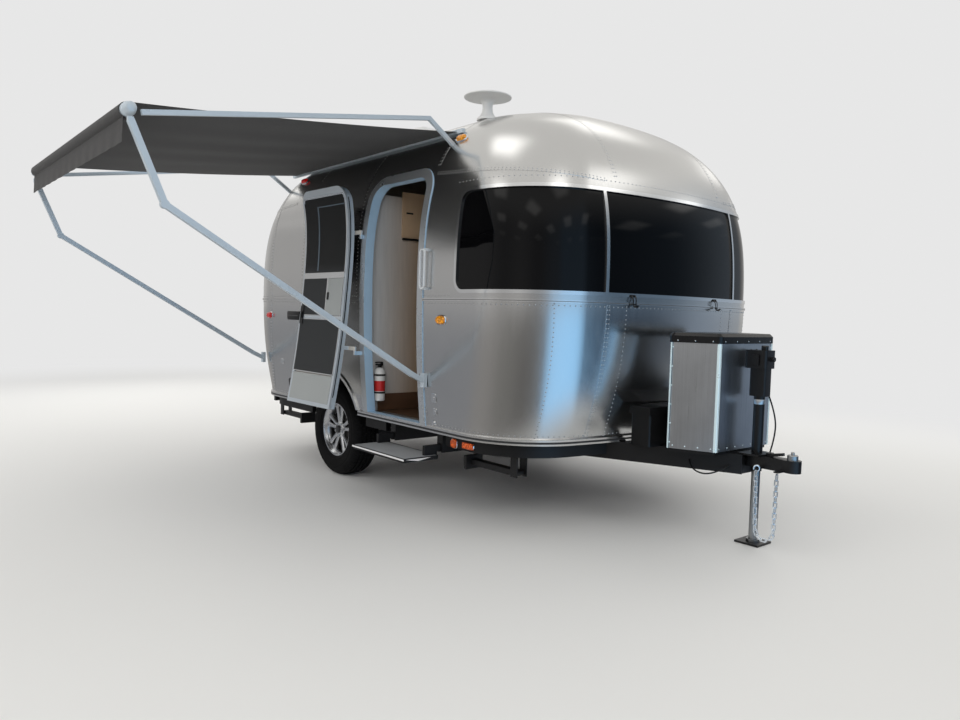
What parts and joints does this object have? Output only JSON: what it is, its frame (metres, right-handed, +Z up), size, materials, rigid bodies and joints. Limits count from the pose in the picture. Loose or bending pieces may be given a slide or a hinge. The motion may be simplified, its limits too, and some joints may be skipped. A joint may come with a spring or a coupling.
{
  "type": "travel caravan",
  "caption": "Rounded aluminium travel caravan with a wrap-around front window, hinged entrance door, roll-out awning and an A-frame drawbar on its jack.",
  "frame": {"origin": "centre of the coupler's ball socket, on the caravan's middle plane", "axes": "+X forwards towards the towing vehicle, +Y to the street side, away from the door, +Z up"},
  "size_m": [5.021, 4.2818, 2.89],
  "materials": {
    "skin": "brushed satin sheet with riveted seams",
    "bright_trim": "bright extrusion",
    "tinted_glass": "dark tinted glass",
    "black_steel": "satin black paint",
    "deck": "dark brown floor board",
    "wells": "black",
    "tyre": "black rubber",
    "alloy": "silver cast alloy",
    "screen_frame": "bright extrusion",
    "mesh": "dark insect mesh",
    "jack_black": "black",
    "galvanised": "zinc plated",
    "cover_metal": "vertically brushed sheet",
    "black_plastic": "black grained plastic",
    "lens_amber": "amber lens",
    "lens_red": "red lens",
    "bumper": "bright pressed sheet",
    "awning_tube": "pale anodised tube",
    "awning_cloth": "woven grey acrylic",
    "step": "black with pale edge",
    "roof_plastic": "white moulding",
    "cabinet": "pale laminate",
    "bedding": "pale board",
    "extinguisher": "white and red",
    "chain": "zinc plated",
    "cable": "black sheath",
    "hatch": "flush doors"
  },
  "bodies": {
    "caravan": {"awning_arms": "awning_tube", "awning_fabric": "awning_cloth", "awning_roller": "awning_tube", "axle": "black_steel", "battery_box": "black_plastic", "bed": "bedding", "bottle_cover": "cover_metal", "bottle_lid": "black_plastic", "cabinets": "cabinet", "chassis_frame": "black_steel", "coupler": "black_steel", "dinette": "cabinet", "door_frame": "bright_trim", "fire_extinguisher": "extinguisher", "floor_deck": "deck", "front_dome": "skin", "front_glass": "tinted_glass", "front_window_frame": "bright_trim", "grab_loop": "bright_trim", "jack_body": "jack_black", "jack_cable": "cable", "lower_curb_panel": "skin", "lower_front_panel": "skin", "lower_rear_panel": "skin", "lower_street_panel": "skin", "marker_lamps_amber": "lens_amber", "marker_lamps_red": "lens_red", "mouldings": "bright_trim", "rear_bumper": "bumper", "rear_dome": "skin", "roof_antenna": "roof_plastic", "roof_panel": "skin", "roof_units": "roof_plastic", "rub_rail": "bright_trim", "safety_chains": "chain", "service_hatches": "hatch", "side_skirt": "black_steel", "tow_cable": "cable", "upper_curb_panel": "skin", "upper_street_panel": "skin", "wheel_wells": "wells", "window_frames": "bright_trim", "window_glass": "tinted_glass"},
    "curb_wheel": {"rim_curb": "alloy", "tyre_curb": "tyre"},
    "street_wheel": {"rim_street": "alloy", "tyre_street": "tyre"},
    "door": {"door_leaf": "skin", "screen_door": "screen_frame", "door_screens": "mesh", "door_glass": "tinted_glass"},
    "step": {"entry_step": "step"},
    "drawbar_leg": {"jack_leg": "galvanised"},
    "leg_front_curb": {"stabiliser_front_curb": "galvanised"},
    "leg_front_street": {"stabiliser_front_street": "galvanised"},
    "leg_rear_curb": {"stabiliser_rear_curb": "galvanised"},
    "leg_rear_street": {"stabiliser_rear_street": "galvanised"}
  },
  "joints": [
    {"name": "curb_wheel_spin", "type": "hinge", "parent": "caravan", "child": "curb_wheel", "pos_m": [-3.2, -1.035, -0.123], "axis": [0, 1, 0], "continuous": true},
    {"name": "street_wheel_spin", "type": "hinge", "parent": "caravan", "child": "street_wheel", "pos_m": [-3.2, 1.035, -0.123], "axis": [0, 1, 0], "continuous": true},
    {"name": "door_hinge", "type": "hinge", "parent": "caravan", "child": "door", "pos_m": [-2.69, -1.245, 0.905], "axis": [0, 0.045, 0.999], "range_deg": [0, 178]},
    {"name": "step_slide", "type": "slide", "parent": "caravan", "child": "step", "axis": [0, 1, 0], "range_m": [0, 0.26]},
    {"name": "jack_slide", "type": "slide", "parent": "caravan", "child": "drawbar_leg", "axis": [0, 0, 1], "range_m": [0, 0.32]},
    {"name": "stabiliser_front_curb", "type": "hinge", "parent": "caravan", "child": "leg_front_curb", "pos_m": [-1.29, -0.905, -0.155], "axis": [0, -1, 0], "range_deg": [0, 38]},
    {"name": "stabiliser_front_street", "type": "hinge", "parent": "caravan", "child": "leg_front_street", "pos_m": [-1.29, 0.905, -0.155], "axis": [0, -1, 0], "range_deg": [0, 38]},
    {"name": "stabiliser_rear_curb", "type": "hinge", "parent": "caravan", "child": "leg_rear_curb", "pos_m": [-4.56, -0.905, -0.155], "axis": [0, 1, 0], "range_deg": [0, 38]},
    {"name": "stabiliser_rear_street", "type": "hinge", "parent": "caravan", "child": "leg_rear_street", "pos_m": [-4.56, 0.905, -0.155], "axis": [0, 1, 0], "range_deg": [0, 38]}
  ]
}
